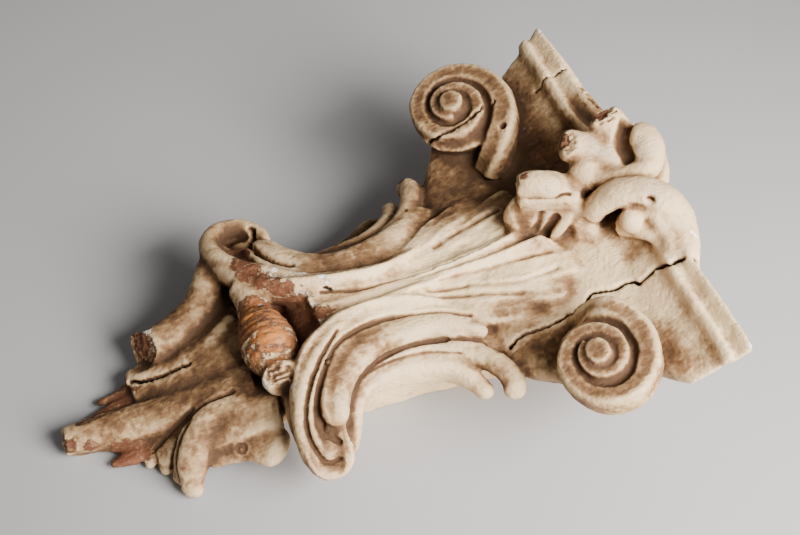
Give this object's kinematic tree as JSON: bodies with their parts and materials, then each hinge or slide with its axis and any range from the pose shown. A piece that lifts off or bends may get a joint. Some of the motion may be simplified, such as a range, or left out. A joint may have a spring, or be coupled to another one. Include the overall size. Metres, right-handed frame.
{
  "type": "wooden corbel bracket",
  "caption": "Carved and painted wooden corbel with a horned shelf, volutes, an acanthus leaf, C-scrolls and a pendant leaf below; fixed to a wall by its flat back.",
  "frame": {"origin": "on the flat back, on the middle line, behind the lower part of the bell", "axes": "+X up the wall to the shelf, +Z out of the wall, so the row lies on its back; Y across"},
  "size_m": [0.556, 0.42, 0.1972],
  "materials": {
    "painted_wood": "worn cream paint over white gesso on red-brown wood, matte, with dirt in the hollows"
  },
  "bodies": {
    "root": {"carved_corbel": "painted_wood"}
  },
  "joints": []
}
